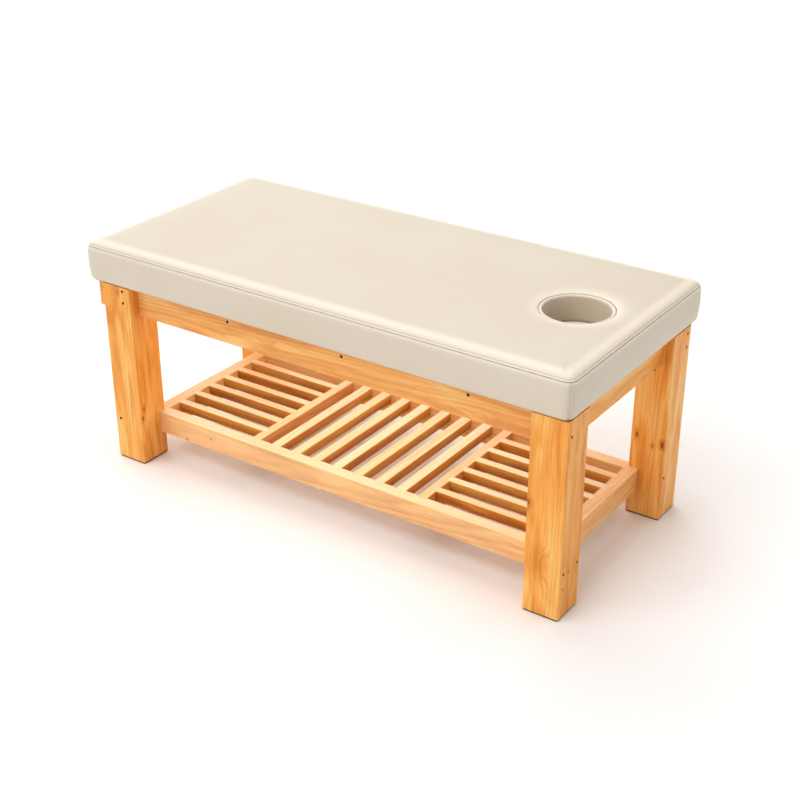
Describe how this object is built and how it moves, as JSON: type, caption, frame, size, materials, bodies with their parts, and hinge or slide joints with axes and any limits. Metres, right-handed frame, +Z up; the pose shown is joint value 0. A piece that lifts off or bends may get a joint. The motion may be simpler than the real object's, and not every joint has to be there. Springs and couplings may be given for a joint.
{
  "type": "massage bed",
  "caption": "Massage bed with a thick padded top and a round face hole, on an open pine frame with square legs and a slatted lower shelf.",
  "frame": {"origin": "on the floor under the middle of the mattress, which is the middle of the whole bed's outline", "axes": "+X along the bed to the head end with the face hole, +Y to the far long side, +Z up"},
  "size_m": [1.8, 0.84, 0.788],
  "materials": {
    "pine": "clear satin varnish on pine",
    "plywood": "bare plywood",
    "vinyl": "satin upholstery vinyl",
    "foam": "bare foam",
    "foot_pad": "matte",
    "screw_steel": "dark phosphated"
  },
  "bodies": {
    "frame": {"bearer_screws": "screw_steel", "deck_bearer_1": "pine", "deck_bearer_2": "pine", "deck_bearer_3": "pine", "end_rail_foot": "pine", "end_rail_head": "pine", "end_rail_screws": "screw_steel", "foot_pad_foot_far": "foot_pad", "foot_pad_foot_near": "foot_pad", "foot_pad_head_far": "foot_pad", "foot_pad_head_near": "foot_pad", "foot_slat_1": "pine", "foot_slat_2": "pine", "foot_slat_3": "pine", "foot_slat_4": "pine", "foot_slat_5": "pine", "foot_slat_6": "pine", "head_slat_1": "pine", "head_slat_2": "pine", "head_slat_3": "pine", "head_slat_4": "pine", "head_slat_5": "pine", "head_slat_6": "pine", "leg_foot_far": "pine", "leg_foot_near": "pine", "leg_head_far": "pine", "leg_head_near": "pine", "leg_plug": "pine", "leg_screws": "screw_steel", "middle_slat_1": "pine", "middle_slat_2": "pine", "middle_slat_3": "pine", "middle_slat_4": "pine", "middle_slat_5": "pine", "middle_slat_6": "pine", "middle_slat_7": "pine", "shelf_cross_rail_foot": "pine", "shelf_cross_rail_head": "pine", "shelf_end_rail_foot": "pine", "shelf_end_rail_head": "pine", "shelf_rail_far": "pine", "shelf_rail_near": "pine", "shelf_screws": "screw_steel", "side_rail_far": "pine", "side_rail_near": "pine", "side_rail_screws": "screw_steel"},
    "mattress": {"base_board": "plywood", "foam_core": "foam", "cover_border": "vinyl", "cover_hole_lining": "vinyl", "cover_top_panel": "vinyl"}
  },
  "joints": [
    {"name": "mattress_lift", "type": "slide", "parent": "frame", "child": "mattress", "axis": [0, 0, 1], "range_m": [0, 0.3]}
  ]
}
